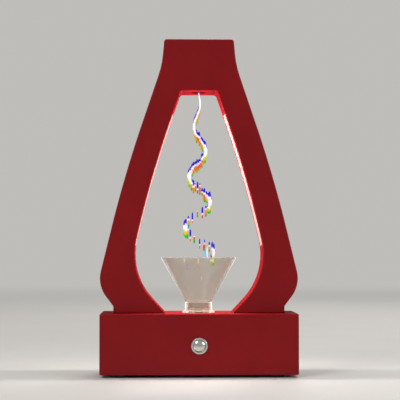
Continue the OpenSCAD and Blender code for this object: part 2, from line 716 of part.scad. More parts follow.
// The falling stream: it leaves along the swinging nozzle, so the wave widens as it falls, quickly at
// first and then more slowly
jet_phase = 31;
jet_flare = 40;
jet_reach = 2 * jet_flare * tan(swing) * jet_spread;
jet_rings = 72;
jet_top = tip_z - 0.3;
jet_l = jet_top - rim_z + jet_dip;
function jet_side(s) = jet_reach * (sqrt(1 + s / jet_flare) - 1);
function jet_point(s) = [jet_side(s) * sin(360 * s / jet_wave + jet_phase), 0, jet_top - s];
module water_jet() color([0.7, 0.85, 1, 0.6]) {
    path = [for (i = [0:jet_rings]) jet_point(jet_l * i / jet_rings)];
    rod(path, [for (i = [0:jet_rings]) jet_dia / 2 * (0.75 + 0.25 * sin(360 * i / 6))], 8);
}

// Head mechanism
module head_bracket() color("#b9bcc0") difference() {
    union() {
        block(-bracket_half, tab_right + bracket_t, bracket_y, bracket_back, bracket_bottom, bracket_top);
        block(tab_left - bracket_t, over - bracket_half, bracket_y, bracket_back,
            coil_z - coil_tab, coil_z + coil_tab);
        block(tab_left - bracket_t, tab_left, -coil_tab, bracket_back, coil_z - coil_tab, coil_z + coil_tab);
        block(tab_right, tab_right + bracket_t, -coupler_tab, bracket_back,
            inlet_z - coupler_tab, inlet_z + coupler_tab);
    }
    along_y(0, bracket_y - over, bracket_y + bracket_t + over, pivot_z, pivot_dia);
    along_x(tab_left - bracket_t - over, tab_left + over, 0, coil_z, screw_dia + 0.2);
    along_x(tab_right - over, tab_right + bracket_t + over, 0, inlet_z, spigot_dia + 2 * fit);
    for (p = bracket_screw_at) along_y(p[0], bracket_y - over, bracket_back + over, p[1], clear_dia);
}
module bracket_screws() color("silver") for (p = bracket_screw_at)
    translate([p[0], bracket_y - screw_seat, p[1]]) rotate([-90, 0, 0]) screw_solid(bracket_screw_l);
module pivot_pin() color("silver") {
    along_y(0, -eye_y - 2.5, bracket_y + bracket_t, pivot_z, pivot_dia);
    along_y(0, eye_y + 0.4, bracket_y, pivot_z, shoulder_dia);
}
module pivot_clip() color("#777777") difference() {
    along_y(0, -eye_y - 0.6 - clip_t, -eye_y - 0.6, pivot_z, clip_dia);
    along_y(0, -eye_y - 3, -eye_y + over, pivot_z, pivot_dia + 2 * run_gap);
}
module pivot_bush() color("#303030") difference() {
    along_y(0, -eye_y - 0.3, eye_y + 0.1, pivot_z, bush_dia);
    along_y(0, -eye_y - over, eye_y + over, pivot_z, pivot_dia + 2 * run_gap);
}
module swing_arm() color("#d8d4c8") difference() {
    union() {
        along_y(0, -eye_y, eye_y, pivot_z, eye_dia);
        block(-arm_w / 2, arm_w / 2, -arm_y, arm_y, arm_bottom, pivot_z - bush_dia / 2 - 1);
    }
    along_y(0, -eye_y - over, eye_y + over, pivot_z, bush_dia + 2 * run_gap);
    along_z(0, 0, arm_bottom - over, nozzle_top + 0.3, nozzle_dia + 0.1);
    block(0, arm_w / 2 + over, -barb_dia / 2 - fit, barb_dia / 2 + fit,
        arm_bottom - over, inlet_z + barb_dia / 2 + fit);
}
module nozzle() color("#b08d3c") difference() {
    union() {
        along_z(0, 0, tip_z + tip_h, nozzle_top, nozzle_dia);
        translate([0, 0, tip_z]) cylinder(h = tip_h, d1 = nozzle_bore + 1.4, d2 = nozzle_dia);
        along_x(0, link_left + 4, 0, inlet_z, barb_dia);
    }
    along_z(0, 0, tip_z - over, inlet_z, nozzle_bore);
    along_x(0, link_left + 4 + over, 0, inlet_z, barb_bore);
}
module arm_magnet() color("#8c8f93") along_x(-arm_w / 2 - magnet_t, -arm_w / 2, 0, coil_z, magnet_dia);
module coil_core() color("#6f7276") {
    along_x(tab_left, coil_right, 0, coil_z, core_dia);
    along_x(tab_left - bracket_t - 0.5, tab_left + 0.5, 0, coil_z, screw_dia);
    along_x(tab_left - bracket_t - 2, tab_left - bracket_t, 0, coil_z, head_dia);
}
module coil_bobbin() color("#1d1d1f") difference() {
    union() {
        along_x(tab_left, tab_left + 1.5, 0, coil_z, coil_dia + 2);
        along_x(coil_right - 2.5, coil_right - 1, 0, coil_z, coil_dia + 2);
        along_x(tab_left, coil_right - 1, 0, coil_z, core_dia + 2);
    }
    along_x(tab_left - over, coil_right + over, 0, coil_z, core_dia + 0.1);
}
module coil_winding() color("#b56a32") difference() {
    along_x(tab_left + 1.5, coil_right - 2.5, 0, coil_z, coil_dia);
    along_x(tab_left, coil_right, 0, coil_z, core_dia + 2.1);
}
module hose_coupler() color("#e6e6e6") difference() {
    union() {
        along_x(coupler_left, coupler_right, 0, inlet_z, barb_dia);
        along_x(tab_right - 2, tab_right + bracket_t + 2, 0, inlet_z, spigot_dia);
        along_x(tab_right - 2, tab_right, 0, inlet_z, coupler_flange_dia);
    }
    along_x(coupler_left - over, coupler_right + over, 0, inlet_z, barb_bore);
}
module nozzle_hose() color("#cfd6d8") difference() {
    along_x(link_left, link_right, 0, inlet_z, hose_dia);
    along_x(link_left - over, link_right + over, 0, inlet_z, barb_dia + 0.1);
}
module riser_hose() color("#cfd6d8") tube(smooth(riser_route), hose_dia / 2, hose_bore / 2, hose_sides);

// Tank
module tank_box(in, z0, z1) block(-tank_left + in, tank_right - in, -tank_front + in, tank_back - in, z0, z1);
module water_tank() color("#c9d2d6") difference() {
    tank_box(0, plate_top, tank_top);
    tank_box(tank_wall, plate_top + tank_wall, tank_top + over);
}
module tank_gasket() color("#222222") difference() {
    tank_box(0, tank_top, lid_z);
    tank_box(tank_wall, tank_top - over, lid_z + over);
}
module tank_lid() color("#c9d2d6") difference() {
    union() {
        tank_box(0, lid_z, lid_z + lid_t);
        difference() {
            tank_box(tank_wall + fit, tank_top - 3, lid_z + 0.5);
            tank_box(tank_wall + fit + 1.4, tank_top - 3 - over, lid_z);
        }
    }
    along_z(0, 0, lid_z - over, lid_z + lid_t + over, drain_dia + 1);
    along_z(outlet_x, hose_y, lid_z - over, lid_z + lid_t + over, hose_dia + 3);
    along_z(lid_leads[0], lid_leads[1], lid_z - over, lid_z + lid_t + over, lead_hole);
}
module lid_grommet() color("#222222") difference() {
    union() {
        along_z(outlet_x, hose_y, lid_z - 1.2, lid_z + lid_t + 1.2, hose_dia + 2.8);
        along_z(outlet_x, hose_y, lid_z + lid_t, lid_z + lid_t + 1.2, hose_dia + 6);
    }
    along_z(outlet_x, hose_y, lid_z - 3, lid_z + lid_t + 3, hose_dia + 0.2);
}

// Pump
module pump_block(x0, x1) block(x0, x1, pump_axis[0] - pump_w / 2, pump_axis[0] + pump_w / 2,
    pump_z, pump_z + pump_w);
module pump_bar(x0, x1, d) along_x(x0, x1, pump_axis[0], pump_axis[1], d);
rotor_left = pump_seam - rotor_l + 2.5;
impeller_x = pump_seam + 2.5;
module pump_body() color("#26282b") difference() {
    pump_block(pump_left, pump_seam);
    pump_bar(rotor_left - 1.5, pump_seam + over, rotor_dia + 1.2);
    pump_bar(rotor_left - shaft_in, pump_seam, shaft_dia + 0.02);
}
module pump_cover() color("#26282b") difference() {
    union() {
        pump_block(pump_seam, pump_seam + cover_l);
        along_z(outlet_x, hose_y, pump_z + pump_w - 1, pump_z + pump_w + outlet_h, barb_dia);
    }
    pump_bar(pump_seam - over, pump_seam + chamber_l, chamber_dia);
    pump_bar(pump_seam, pump_seam + cover_l + over, intake_dia);
    along_z(outlet_x, hose_y, pump_axis[1], pump_z + pump_w + outlet_h + over, barb_bore);
}
module pump_shaft() color("white") pump_bar(rotor_left - shaft_in, impeller_x + blade_l + 1.5, shaft_dia);
module pump_impeller() color("#e9e4d6") difference() {
    union() {
        pump_bar(rotor_left, impeller_x, rotor_dia);
        pump_bar(impeller_x - disc_t / 2, impeller_x + disc_t / 2, impeller_dia);
        pump_bar(impeller_x, impeller_x + blade_l + 0.5, hub_dia);
        translate([impeller_x, pump_axis[0], pump_axis[1]]) for (i = [0:impeller_blades - 1])
            rotate([i * 360 / impeller_blades, 0, 0]) translate([0, -blade_t / 2, 0])
                cube([blade_l, blade_t, impeller_dia / 2 - 0.3]);
    }
    pump_bar(rotor_left - over, impeller_x + blade_l + 2, shaft_dia + 2 * run_gap);
}
module pump_cups() color("#303030") for (x = [pump_left + cup_in, pump_seam + cover_l - cup_in], y = [-1, 1])
    translate([x, pump_axis[0] + y * (pump_w / 2 - cup_dia / 2), plate_top + tank_wall])
        cylinder(h = cup_h, d1 = cup_dia, d2 = cup_dia * 0.6);

// Control board
module at_board_screws() for (x = [board_x0 + board_hole_in, board_x1 - board_hole_in], y = [-1, 1])
    translate([x, y * (board_y - 2), 0]) children();
module control_board() color("#1f5f38") difference() {
    block(board_x0, board_x1, -board_y, board_y, board_z, board_z + board_t);
    at_board_screws() along_z(0, 0, board_z - over, board_z + board_t + over, screw_dia);
}
module plug(x, y) block(x - plug_w / 2, x + plug_w / 2, y - plug_d / 2, y + plug_d / 2,
    board_z + board_t, plug_top);
module board_components() {
    top = board_z + board_t;
    color("#efe9d8") {
        for (y = plug_y) plug(plug_x, y);
        plug(jack_plug[0], jack_plug[1]);
    }
    color("#1a1a1a") {
        block(chip_at[0], chip_at[0] + chip_w, chip_at[1], chip_at[1] + chip_w, top, top + 1.6);
        for (i = [0, 1]) block(board_x0 + 8, board_x0 + 8 + switch_w, plug_y[0] - 2 + i * switch_gap,
            plug_y[0] - 3 + switch_w + i * switch_gap, top, top + 2.3);
        along_z(can_at[0], can_at[1], top, top + can_h, can_dia);
    }
}
module board_screws() color("silver") at_board_screws()
    translate([0, 0, board_z + board_t + 0.8 * screw_seat]) mirror([0, 0, 1]) scale(0.8) screw_solid(7);

// Power inlet at the back, measured outwards from the rear face
module at_jack() translate([jack_x, base_d / 2, jack_z]) rotate([-90, 0, 0]) children();
module dc_jack() color("#17181a") at_jack() difference() {
    union() {
        cylinder(h = jack_flange_t, d = jack_flange_dia);
        translate([0, 0, -jack_thread_l]) cylinder(h = jack_thread_l + 0.5, d = jack_dia);
        translate([0, 0, -jack_l]) cylinder(h = jack_l - jack_thread_l + over, d = jack_back_dia);
    }
    difference() {
        translate([0, 0, -pin_hole_l]) cylinder(h = pin_hole_l + jack_flange_t + over, d = pin_hole_dia);
        translate([0, 0, -pin_hole_l - over]) cylinder(h = pin_hole_l + over + 0.5, d = pin_dia);
    }
}
module jack_nut() color("silver") at_jack() difference() {
    translate([0, 0, -base_wall - jack_nut_t]) cylinder(h = jack_nut_t, d = jack_nut_dia, $fn = 6);
    translate([0, 0, -base_wall - jack_nut_t - over]) cylinder(h = jack_nut_t + 2 * over, d = jack_dia + fit);
}

// Push button in the front, measured outwards from the front face
module at_button() translate([0, -base_d / 2, button_z]) rotate([90, 0, 0]) children();
bezel_r = 1.4;
function arc(c, r, a0, a1, n) = [for (i = [0:n]) let (a = a0 + (a1 - a0) * i / n) c + r * [cos(a), sin(a)]];
cap_bore = cap_dia + 2 * cap_gap;
module button_body() color("#c8cacc") at_button() rotate_extrude() polygon(concat(
    [[cap_bore / 2, bezel_h]],
    arc([bezel_dia / 2 - bezel_r, bezel_h - bezel_r], bezel_r, 90, 0, 6),
    [[bezel_dia / 2, 0], [barrel_dia / 2, 0], [barrel_dia / 2, -button_l], [cap_bore / 2, -button_l],
        [cap_bore / 2, -shelf_in - shelf_t], [plunger_dia / 2 + cap_gap, -shelf_in - shelf_t],
        [plunger_dia / 2 + cap_gap, -shelf_in], [cap_bore / 2, -shelf_in]]));
module button_nut() color("silver") at_button() difference() {
    translate([0, 0, -base_wall - button_nut_t])
        cylinder(h = button_nut_t, d = barrel_dia + button_nut_over, $fn = 6);
    translate([0, 0, -base_wall - button_nut_t - over])
        cylinder(h = button_nut_t + 2 * over, d = barrel_dia + 0.1);
}
dome_r = (pow(cap_dia / 2, 2) + cap_rise * cap_rise) / (2 * cap_rise);
dome_a = asin(cap_dia / 2 / dome_r);
module button_cap() color("#d5d7d9") at_button() rotate_extrude() polygon(concat(
    [[0, -plunger_l], [plunger_dia / 2, -plunger_l], [plunger_dia / 2, -cap_l], [cap_dia / 2, -cap_l]],
    arc([0, cap_edge + cap_rise - dome_r], dome_r, 90 - dome_a, 90, 10)));
module button_spring() color("#9a9da0") at_button() difference() {
    translate([0, 0, -shelf_in]) cylinder(h = shelf_in - cap_l - 0.1, d = spring_dia);
    translate([0, 0, -shelf_in - over]) cylinder(h = shelf_in - cap_l + 2 * over, d = spring_bore);
}
module button_terminals() color("#2b2b2d") at_button() {
    translate([0, 0, -button_l - 1.5]) cylinder(h = 1.5, d = barrel_dia);
    for (x = [-4, 4]) translate([x - 0.4, -1.4, -button_l - 4]) cube([0.8, 2.8, 3]);
}

// Inner leads
module left_led_lead() lead(left_led_route);
module right_led_lead() lead(right_led_route);
module coil_lead() lead(coil_route);
module pump_lead() lead(pump_route);
module button_lead() lead(button_route);
module jack_lead() lead(jack_route);

base_housing();
base_plate();
feet();
base_screws();
frame_front();
frame_rear();
frame_screws();
leg_screws();
left_diffuser();
right_diffuser();
left_led_board();
right_led_board();
left_leds();
right_leds();
funnel();
funnel_collar();
collar_gasket();
collar_nut();
water_jet();
head_bracket();
bracket_screws();
pivot_pin();
pivot_clip();
pivot_bush();
swing_arm();
nozzle();
arm_magnet();
coil_core();
coil_bobbin();
coil_winding();
hose_coupler();
nozzle_hose();
riser_hose();
water_tank();
tank_gasket();
tank_lid();
lid_grommet();
pump_body();
pump_cover();
pump_shaft();
pump_impeller();
pump_cups();
control_board();
board_components();
board_screws();
dc_jack();
jack_nut();
button_body();
button_nut();
button_cap();
button_spring();
button_terminals();
left_led_lead();
right_led_lead();
coil_lead();
pump_lead();
button_lead();
jack_lead();
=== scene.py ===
"""Anti-gravity fountain lamp: looks, camera and light."""

import math
from collections import namedtuple

import bmesh
import bpy
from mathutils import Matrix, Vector


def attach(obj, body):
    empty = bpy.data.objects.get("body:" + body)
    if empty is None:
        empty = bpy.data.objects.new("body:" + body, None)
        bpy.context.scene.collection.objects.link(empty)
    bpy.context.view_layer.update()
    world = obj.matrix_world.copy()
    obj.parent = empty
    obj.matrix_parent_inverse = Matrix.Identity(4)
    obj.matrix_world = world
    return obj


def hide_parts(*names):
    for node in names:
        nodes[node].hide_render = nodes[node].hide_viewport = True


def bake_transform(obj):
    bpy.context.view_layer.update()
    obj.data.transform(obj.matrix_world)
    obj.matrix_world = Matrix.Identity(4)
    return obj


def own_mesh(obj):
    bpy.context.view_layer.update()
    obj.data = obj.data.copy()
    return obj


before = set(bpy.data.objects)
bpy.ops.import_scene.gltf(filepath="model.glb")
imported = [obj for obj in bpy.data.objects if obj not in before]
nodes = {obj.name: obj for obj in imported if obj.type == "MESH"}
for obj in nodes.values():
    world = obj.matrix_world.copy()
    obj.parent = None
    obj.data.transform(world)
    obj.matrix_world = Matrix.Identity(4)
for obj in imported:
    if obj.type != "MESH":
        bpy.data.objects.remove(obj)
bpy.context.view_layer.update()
scene = bpy.context.scene
scene.view_settings.view_transform = "Standard"

# One millimetre in metres
MM = 0.001

# Places that several pieces share, in metres: the frame's outer faces to the front and rear, the
# base's underside and top, and the ceiling of the opening
FRAME_FACE = 0.023
BASE_UNDERSIDE = 0.003
BASE_TOP = 0.067
OPENING_TOP = 0.305

# Height of the button's axis in millimetres
BUTTON_Z = 33.5


def placed(obj, place, target):
    """Puts a camera or lamp in the scene, looking at a point."""
    scene.collection.objects.link(obj)
    obj.location = place
    sight = Vector(target) - obj.location
    obj.rotation_euler = sight.to_track_quat("-Z", "Y").to_euler()
    return obj


# Camera at the photograph's viewing angle
CAMERA_PLACE = (-0.0344, -1.362, 0.1311)
CAMERA_TARGET = (0.0016, 0.0, 0.1884)
camera_data = bpy.data.cameras.new("camera")
camera_data.sensor_width = 36.0
camera_data.lens = 113.2
scene.camera = placed(bpy.data.objects.new("camera", camera_data), CAMERA_PLACE, CAMERA_TARGET)


# Material helpers

# A noise pattern lies mostly between these values
NOISE_LOW = 0.3
NOISE_HIGH = 0.7


def shader(name):
    """A new material with its node tree and its main shader."""
    material = bpy.data.materials.new(name)
    material.use_nodes = True
    tree = material.node_tree
    return material, tree, tree.nodes["Principled BSDF"]


def object_coords(tree, stretch=(1.0, 1.0, 1.0)):
    """Coordinates in metres in the piece's own frame, stretched along each axis."""
    coords = tree.nodes.new("ShaderNodeTexCoord")
    mapping = tree.nodes.new("ShaderNodeMapping")
    mapping.inputs["Scale"].default_value = stretch
    tree.links.new(coords.outputs["Object"], mapping.inputs["Vector"])
    return mapping.outputs["Vector"]


def object_height(tree):
    """Height in metres in the piece's own frame."""
    split = tree.nodes.new("ShaderNodeSeparateXYZ")
    tree.links.new(object_coords(tree), split.inputs["Vector"])
    return split.outputs["Z"]


def noise(tree, scale, detail=3.0, stretch=(1.0, 1.0, 1.0)):
    """A noise pattern with about scale cells to the metre."""
    texture = tree.nodes.new("ShaderNodeTexNoise")
    texture.inputs["Scale"].default_value = scale
    texture.inputs["Detail"].default_value = detail
    tree.links.new(object_coords(tree, stretch), texture.inputs["Vector"])
    return texture.outputs["Fac"]


def ramp(tree, factor, low, dark, high, light):
    """A colour by factor: dark at low, light at high."""
    node = tree.nodes.new("ShaderNodeValToRGB")
    for element, place, colour in zip(node.color_ramp.elements, (low, high), (dark, light)):
        element.position = place
        element.color = (*colour, 1.0)
    tree.links.new(factor, node.inputs["Fac"])
    return node.outputs["Color"]


def patchy(tree, pattern, dark, light):
    """A noise pattern in two colours."""
    return ramp(tree, pattern, NOISE_LOW, dark, NOISE_HIGH, light)


def mapped(tree, value, source, target, smooth=False, clamp=True):
    """A value moved from the range source to the range target."""
    node = tree.nodes.new("ShaderNodeMapRange")
    node.clamp = clamp
    if smooth:
        node.interpolation_type = "SMOOTHSTEP"
    node.inputs["From Min"].default_value = source[0]
    node.inputs["From Max"].default_value = source[1]
    node.inputs["To Min"].default_value = target[0]
    node.inputs["To Max"].default_value = target[1]
    tree.links.new(value, node.inputs["Value"])
    return node.outputs["Result"]


def spread(tree, pattern, low, high):
    """Maps the middle of a noise pattern to low and high."""
    return mapped(tree, pattern, (NOISE_LOW, NOISE_HIGH), (low, high))


def worked_out(tree, operation, *values):
    """The result of a Math node."""
    node = tree.nodes.new("ShaderNodeMath")
    node.operation = operation
    for index, value in enumerate(values):
        tree.links.new(value, node.inputs[index])
    return node.outputs["Value"]


def bump(tree, bsdf, height, depth, strength=1.0):
    """Surface relief from a height pattern, depth in metres."""
    node = tree.nodes.new("ShaderNodeBump")
    node.inputs["Strength"].default_value = strength
    node.inputs["Distance"].default_value = depth
    tree.links.new(height, node.inputs["Height"])
    tree.links.new(node.outputs["Normal"], bsdf.inputs["Normal"])


def scaled(colour, amount):
    """A colour made lighter or darker."""
    return tuple(min(1.0, part * amount) for part in colour)


# A plain material: its colour and the share by which it varies, colour patches to the metre, lowest
# and highest roughness, grains to the metre and their depth in metres
Finish = namedtuple("Finish", "colour vary patch rough grain depth metallic specular", defaults=(0.0, 0.5))


def moulded(name, finish):
    """A material with slight colour patches, uneven gloss and a fine surface grain."""
    material, tree, bsdf = shader(name)
    patches = noise(tree, finish.patch, 4.0)
    dark = scaled(finish.colour, 1.0 - finish.vary)
    light = scaled(finish.colour, 1.0 + finish.vary)
    tree.links.new(patchy(tree, patches, dark, light), bsdf.inputs["Base Color"])
    gloss = noise(tree, finish.patch * 3.0, 2.0)
    tree.links.new(spread(tree, gloss, *finish.rough), bsdf.inputs["Roughness"])
    bump(tree, bsdf, noise(tree, finish.grain, 2.0), finish.depth)
    bsdf.inputs["Metallic"].default_value = finish.metallic
    bsdf.inputs["Specular IOR Level"].default_value = finish.specular
    return material


RED = (0.20, 0.0040, 0.0065)
FINISHES = {
    "red_shell": Finish(RED, 0.08, 18.0, (0.30, 0.40), 700.0, 0.000006, specular=0.15),
    "red_base": Finish(RED, 0.08, 18.0, (0.28, 0.38), 700.0, 0.000006, specular=0.15),
    "red_matte": Finish(RED, 0.06, 25.0, (0.55, 0.68), 900.0, 0.00001, specular=0.02),
    "black_plastic": Finish((0.012, 0.012, 0.013), 0.2, 60.0, (0.45, 0.6), 1500.0, 0.00004),
    "rubber": Finish((0.014, 0.014, 0.014), 0.25, 150.0, (0.7, 0.85), 1200.0, 0.00006),
    "steel": Finish((0.55, 0.55, 0.54), 0.1, 300.0, (0.22, 0.36), 2500.0, 0.00002, metallic=1.0),
    "led_board": Finish((0.72, 0.72, 0.69), 0.05, 120.0, (0.4, 0.5), 1500.0, 0.00002),
    "led_chip": Finish((0.85, 0.72, 0.32), 0.12, 400.0, (0.25, 0.4), 2000.0, 0.00002),
    "zinc_plate": Finish((0.48, 0.49, 0.50), 0.15, 200.0, (0.3, 0.45), 1500.0, 0.00002, metallic=1.0),
    "arm_plastic": Finish((0.035, 0.036, 0.04), 0.15, 80.0, (0.4, 0.55), 1500.0, 0.00003),
    "brass": Finish((0.62, 0.41, 0.14), 0.1, 300.0, (0.2, 0.32), 2500.0, 0.00002, metallic=1.0),
    "magnet": Finish((0.5, 0.5, 0.52), 0.12, 300.0, (0.15, 0.28), 2500.0, 0.00001, metallic=1.0),
    "iron": Finish((0.22, 0.21, 0.2), 0.2, 250.0, (0.35, 0.5), 1500.0, 0.00003, metallic=1.0),
    "tank": Finish((0.62, 0.63, 0.62), 0.05, 40.0, (0.35, 0.5), 900.0, 0.00003),
    "white_plastic": Finish((0.68, 0.67, 0.63), 0.05, 80.0, (0.4, 0.5), 1200.0, 0.00003),
    "components": Finish((0.025, 0.025, 0.028), 0.3, 300.0, (0.4, 0.6), 1500.0, 0.00003),
    "lead": Finish((0.018, 0.017, 0.017), 0.2, 200.0, (0.45, 0.6), 1500.0, 0.00003),
    "hose": Finish((0.5, 0.51, 0.5), 0.06, 120.0, (0.3, 0.42), 900.0, 0.00002),
}
materials = {name: moulded(name, finish) for name, finish in FINISHES.items()}


def polished_metal():
    """Turned and polished metal, with faint rings about the button's axis."""
    material, tree, bsdf = shader("button_metal")
    wear = patchy(tree, noise(tree, 260.0, 4.0), (0.50, 0.49, 0.475), (0.62, 0.61, 0.60))
    tree.links.new(wear, bsdf.inputs["Base Color"])
    tree.links.new(spread(tree, noise(tree, 700.0, 3.0), 0.09, 0.17), bsdf.inputs["Roughness"])
    shifted = tree.nodes.new("ShaderNodeVectorMath")
    shifted.operation = "SUBTRACT"
    shifted.inputs[1].default_value = (0.0, 0.0, BUTTON_Z * MM)
    tree.links.new(object_coords(tree), shifted.inputs[0])
    rings = tree.nodes.new("ShaderNodeTexWave")
    rings.wave_type = "RINGS"
    rings.rings_direction = "Y"
    rings.inputs["Scale"].default_value = 900.0
    tree.links.new(shifted.outputs["Vector"], rings.inputs["Vector"])
    bump(tree, bsdf, rings.outputs["Fac"], 0.000002, 0.4)
    bsdf.inputs["Metallic"].default_value = 1.0
    return material


def wound_copper():
    """Lacquered wire in turns along X, with painted shade in the grooves between the turns."""
    material, tree, bsdf = shader("copper")
    turns = tree.nodes.new("ShaderNodeTexWave")
    turns.wave_type = "BANDS"
    turns.bands_direction = "X"
    turns.inputs["Scale"].default_value = 380.0
    turns.inputs["Distortion"].default_value = 0.6
    tree.links.new(object_coords(tree), turns.inputs["Vector"])
    # Painted shade: the lacquer's colour darkens in the grooves between turns
    lacquer_and_groove_shade = ramp(tree, turns.outputs["Fac"], 0.0, (0.16, 0.045, 0.015), 0.6, (0.62, 0.23, 0.09))
    tree.links.new(lacquer_and_groove_shade, bsdf.inputs["Base Color"])
    tree.links.new(spread(tree, noise(tree, 400.0), 0.22, 0.38), bsdf.inputs["Roughness"])
    bump(tree, bsdf, turns.outputs["Fac"], 0.0002)
    bsdf.inputs["Metallic"].default_value = 1.0
    return material


def circuit_board():
    """Green board with paler tracks."""
    material, tree, bsdf = shader("green_board")
    tracks = tree.nodes.new("ShaderNodeTexBrick")
    tracks.inputs["Scale"].default_value = 90.0
    tracks.inputs["Color1"].default_value = (0.008, 0.085, 0.03, 1.0)
    tracks.inputs["Color2"].default_value = (0.01, 0.11, 0.038, 1.0)
    tracks.inputs["Mortar"].default_value = (0.03, 0.2, 0.07, 1.0)
    tracks.inputs["Mortar Size"].default_value = 0.04
    tree.links.new(object_coords(tree), tracks.inputs["Vector"])
    tree.links.new(tracks.outputs["Color"], bsdf.inputs["Base Color"])
    tree.links.new(spread(tree, noise(tree, 200.0), 0.25, 0.4), bsdf.inputs["Roughness"])
    bump(tree, bsdf, tracks.outputs["Fac"], 0.00003)
    return material


def clear_acrylic(name, edge, low, high):
    """Clear moulded acrylic with a slight smoky tint.

    Its edges carry a painted glow, a painted highlight for light caught in the acrylic, where the
    surface turns away by more than edge, fully at the height high and faintly at the height low.
    """
    material, tree, bsdf = shader(name)
    tint = patchy(tree, noise(tree, 40.0), (0.86, 0.80, 0.74), (0.92, 0.87, 0.82))
    tree.links.new(tint, bsdf.inputs["Base Color"])
    tree.links.new(spread(tree, noise(tree, 150.0), 0.12, 0.2), bsdf.inputs["Roughness"])
    bump(tree, bsdf, noise(tree, 220.0, 1.0, (1.0, 1.0, 0.3)), 0.00001)
    bsdf.inputs["Transmission Weight"].default_value = 1.0
    bsdf.inputs["IOR"].default_value = 1.22
    # Painted glow: the edges emit light where the surface turns away, fading lower down
    rim = tree.nodes.new("ShaderNodeLayerWeight")
    rim.inputs["Blend"].default_value = 0.5
    glow = mapped(tree, rim.outputs["Facing"], (edge, 1.0), (0.0, 0.8), smooth=True)
    fade = mapped(tree, object_height(tree), (low, high), (0.25, 1.0))
    tree.links.new(worked_out(tree, "MULTIPLY", glow, fade), bsdf.inputs["Emission Strength"])
    bsdf.inputs["Emission Color"].default_value = (1.0, 0.96, 0.90, 1.0)
    return material


# Row of LEDs behind a strip: height of its upper end and space for each LED, in metres
LED_TOP = 0.281
LED_PITCH = 0.142 / 12


def frosted_light():
    """Frosted strip that glows, a little brighter in front of each LED."""
    material, tree, bsdf = shader("diffuser")
    phase = mapped(tree, object_height(tree), (LED_TOP, LED_TOP - LED_PITCH),
                   (math.pi, 3.0 * math.pi), clamp=False)
    wave = worked_out(tree, "COSINE", phase)
    power = mapped(tree, wave, (-1.0, 1.0), (0.32, 0.42))
    tree.links.new(power, bsdf.inputs["Emission Strength"])
    bsdf.inputs["Emission Color"].default_value = (1.0, 0.58, 0.50, 1.0)
    frost = patchy(tree, noise(tree, 120.0), (0.22, 0.16, 0.15), (0.26, 0.19, 0.18))
    tree.links.new(frost, bsdf.inputs["Base Color"])
    tree.links.new(spread(tree, noise(tree, 300.0), 0.45, 0.6), bsdf.inputs["Roughness"])
    bump(tree, bsdf, noise(tree, 2500.0), 0.00003)
    return material


def lit_water():
    """Water drops with the flashing lights painted on as a glow in their colours, from the mesh's colours.
    """
    material, tree, bsdf = shader("water")
    # Painted light: the drops glow in the flash colours instead of being lit by them
    colour = tree.nodes.new("ShaderNodeVertexColor")
    colour.layer_name = "flash"
    tree.links.new(colour.outputs["Color"], bsdf.inputs["Emission Color"])
    bsdf.inputs["Emission Strength"].default_value = 1.0
    body = patchy(tree, noise(tree, 200.0), (0.0010, 0.0012, 0.0014), (0.0020, 0.0022, 0.0024))
    tree.links.new(body, bsdf.inputs["Base Color"])
    tree.links.new(spread(tree, noise(tree, 300.0), 0.03, 0.1), bsdf.inputs["Roughness"])
    bump(tree, bsdf, noise(tree, 700.0, 1.0), 0.0001)
    bsdf.inputs["IOR"].default_value = 1.33
    bsdf.inputs["Specular IOR Level"].default_value = 0.12
    return material


materials["button_metal"] = polished_metal()
materials["copper"] = wound_copper()
materials["green_board"] = circuit_board()
materials["clear"] = clear_acrylic("clear", 0.72, 0.085, 0.126)
materials["clear_collar"] = clear_acrylic("clear_collar", 0.36, 0.050, 0.066)
materials["diffuser"] = frosted_light()
materials["water"] = lit_water()


# Mesh helpers

# Distance in metres within which a point counts as lying on a face
NEAR = 1e-5


def finished(bm, name, sharp=40.0):
    """Turns a bmesh into a clean mesh, smooth except at edges sharper than an angle."""
    bmesh.ops.remove_doubles(bm, verts=bm.verts, dist=1e-7)
    bmesh.ops.recalc_face_normals(bm, faces=bm.faces)
    mesh = bpy.data.meshes.new(name)
    bm.to_mesh(mesh)
    bm.free()
    mesh.shade_smooth()
    mesh.set_sharp_from_angle(angle=math.radians(sharp))
    return mesh


def piece(name, mesh, slot, body, stands_for, look=None):
    """Puts a mesh in the scene as a piece that stands for CAD nodes, riding on a body if one is named."""
    obj = bpy.data.objects.new(name, mesh)
    scene.collection.objects.link(obj)
    mesh.materials.clear()
    mesh.materials.append(materials[look or slot])
    even = obj.modifiers.new("even_normals", "WEIGHTED_NORMAL")
    even.keep_sharp = True
    if body:
        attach(obj, body)
    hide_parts(*stands_for)
    return obj


def eased_copy(node, rules):
    """A copy of a CAD node's mesh, with edges rounded by (test of an edge's two ends, radius, steps)."""
    bm = bmesh.new()
    bm.from_mesh(nodes[node].data)
    bmesh.ops.remove_doubles(bm, verts=bm.verts, dist=2e-6)
    bmesh.ops.dissolve_limit(bm, angle_limit=math.radians(0.5), verts=bm.verts, edges=bm.edges)
    for test, radius, steps in rules:
        chosen = []
        for edge in bm.edges:
            if len(edge.link_faces) != 2 or edge.calc_face_angle(0.0) < math.radians(30.0):
                continue
            if test(edge.verts[0].co) and test(edge.verts[1].co):
                chosen.append(edge)
        bmesh.ops.bevel(bm, geom=chosen, offset=radius, offset_type="OFFSET", segments=steps,
                        profile=0.5, affect="EDGES", clamp_overlap=False)
    return finished(bm, node + "_eased")


def matte_where(mesh, test):
    """Gives the matte red to the faces that pass a test of their middle and normal."""
    mesh.materials.append(materials["red_matte"])
    for face in mesh.polygons:
        if test(face.center, face.normal):
            face.material_index = 1


# Frame shells with eased edges

# A line that runs between the opening and the outside: (height, half width) in metres
RIB_LINE = ((BASE_TOP, 0.060), (0.109, 0.085), (OPENING_TOP, 0.035))


def skin_test(node, face_y):
    """Tests whether a point lies on the shell's skin, in front of or behind a point of its outer face."""
    places = set()
    for vertex in nodes[node].data.vertices:
        if abs(vertex.co.y - face_y) < NEAR:
            places.add((round(vertex.co.x, 5), round(vertex.co.z, 5)))
    return lambda co: (round(co.x, 5), round(co.z, 5)) in places


